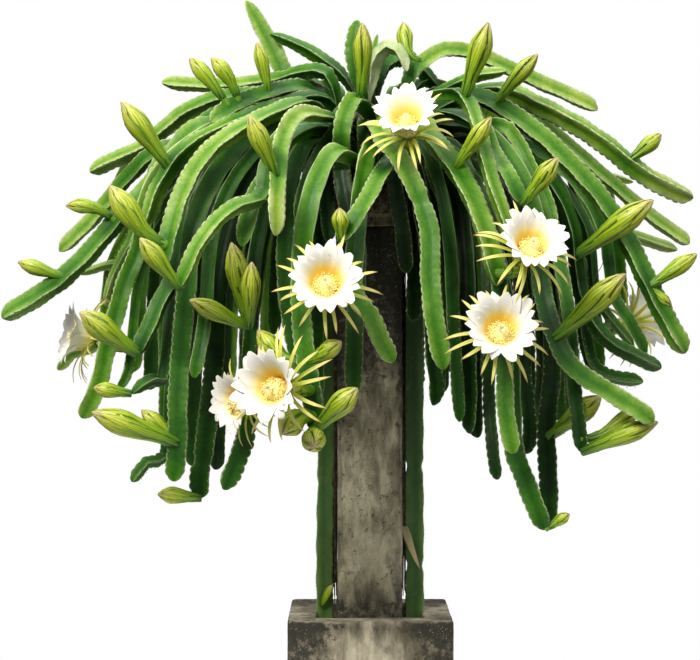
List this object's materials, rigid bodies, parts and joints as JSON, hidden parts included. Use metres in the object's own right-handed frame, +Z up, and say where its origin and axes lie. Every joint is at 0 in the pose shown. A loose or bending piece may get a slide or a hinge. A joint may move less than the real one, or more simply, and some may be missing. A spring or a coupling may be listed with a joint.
{
  "type": "potted climbing cactus",
  "caption": "Climbing cactus whose three-ribbed stems fountain from a capped square post in a square planter, with buds and open white blooms.",
  "frame": {"origin": "middle of the planter's underside, on the ground", "axes": "+Z up along the post; the side shown in the picture faces -Y, its right is +X"},
  "size_m": [1.6866, 1.3808, 1.84],
  "materials": {
    "planter_concrete": "weathered",
    "soil": "crumbly",
    "post_concrete": "weathered",
    "cap_concrete": "weathered",
    "crown_stem": "waxy",
    "stem_green": "waxy",
    "petal_white": "matte",
    "tepal_yellow": "matte",
    "stamen_yellow": "matte"
  },
  "bodies": {
    "root": {"planter": "planter_concrete", "soil": "soil", "post": "post_concrete", "cap": "cap_concrete", "crown": "crown_stem", "stems_right": "stem_green", "stems_right_back": "stem_green", "stems_back_right": "stem_green", "stems_back": "stem_green", "stems_back_left": "stem_green", "stems_left_back": "stem_green", "stems_left": "stem_green", "stems_left_front": "stem_green", "stems_front_left": "stem_green", "stems_front": "stem_green", "stems_front_right": "stem_green", "stems_right_front": "stem_green", "flower_1_tepals": "tepal_yellow", "flower_1_corolla": "petal_white", "flower_1_stamens": "stamen_yellow", "flower_2_tepals": "tepal_yellow", "flower_2_corolla": "petal_white", "flower_2_stamens": "stamen_yellow", "flower_3_tepals": "tepal_yellow", "flower_3_corolla": "petal_white", "flower_3_stamens": "stamen_yellow", "flower_4_tepals": "tepal_yellow", "flower_4_corolla": "petal_white", "flower_4_stamens": "stamen_yellow", "flower_5_tepals": "tepal_yellow", "flower_5_corolla": "petal_white", "flower_5_stamens": "stamen_yellow", "flower_6_tepals": "tepal_yellow", "flower_6_corolla": "petal_white", "flower_6_stamens": "stamen_yellow", "flower_7_tepals": "tepal_yellow", "flower_7_corolla": "petal_white", "flower_7_stamens": "stamen_yellow", "flower_8_tepals": "tepal_yellow", "flower_8_corolla": "petal_white", "flower_8_stamens": "stamen_yellow"}
  },
  "joints": []
}
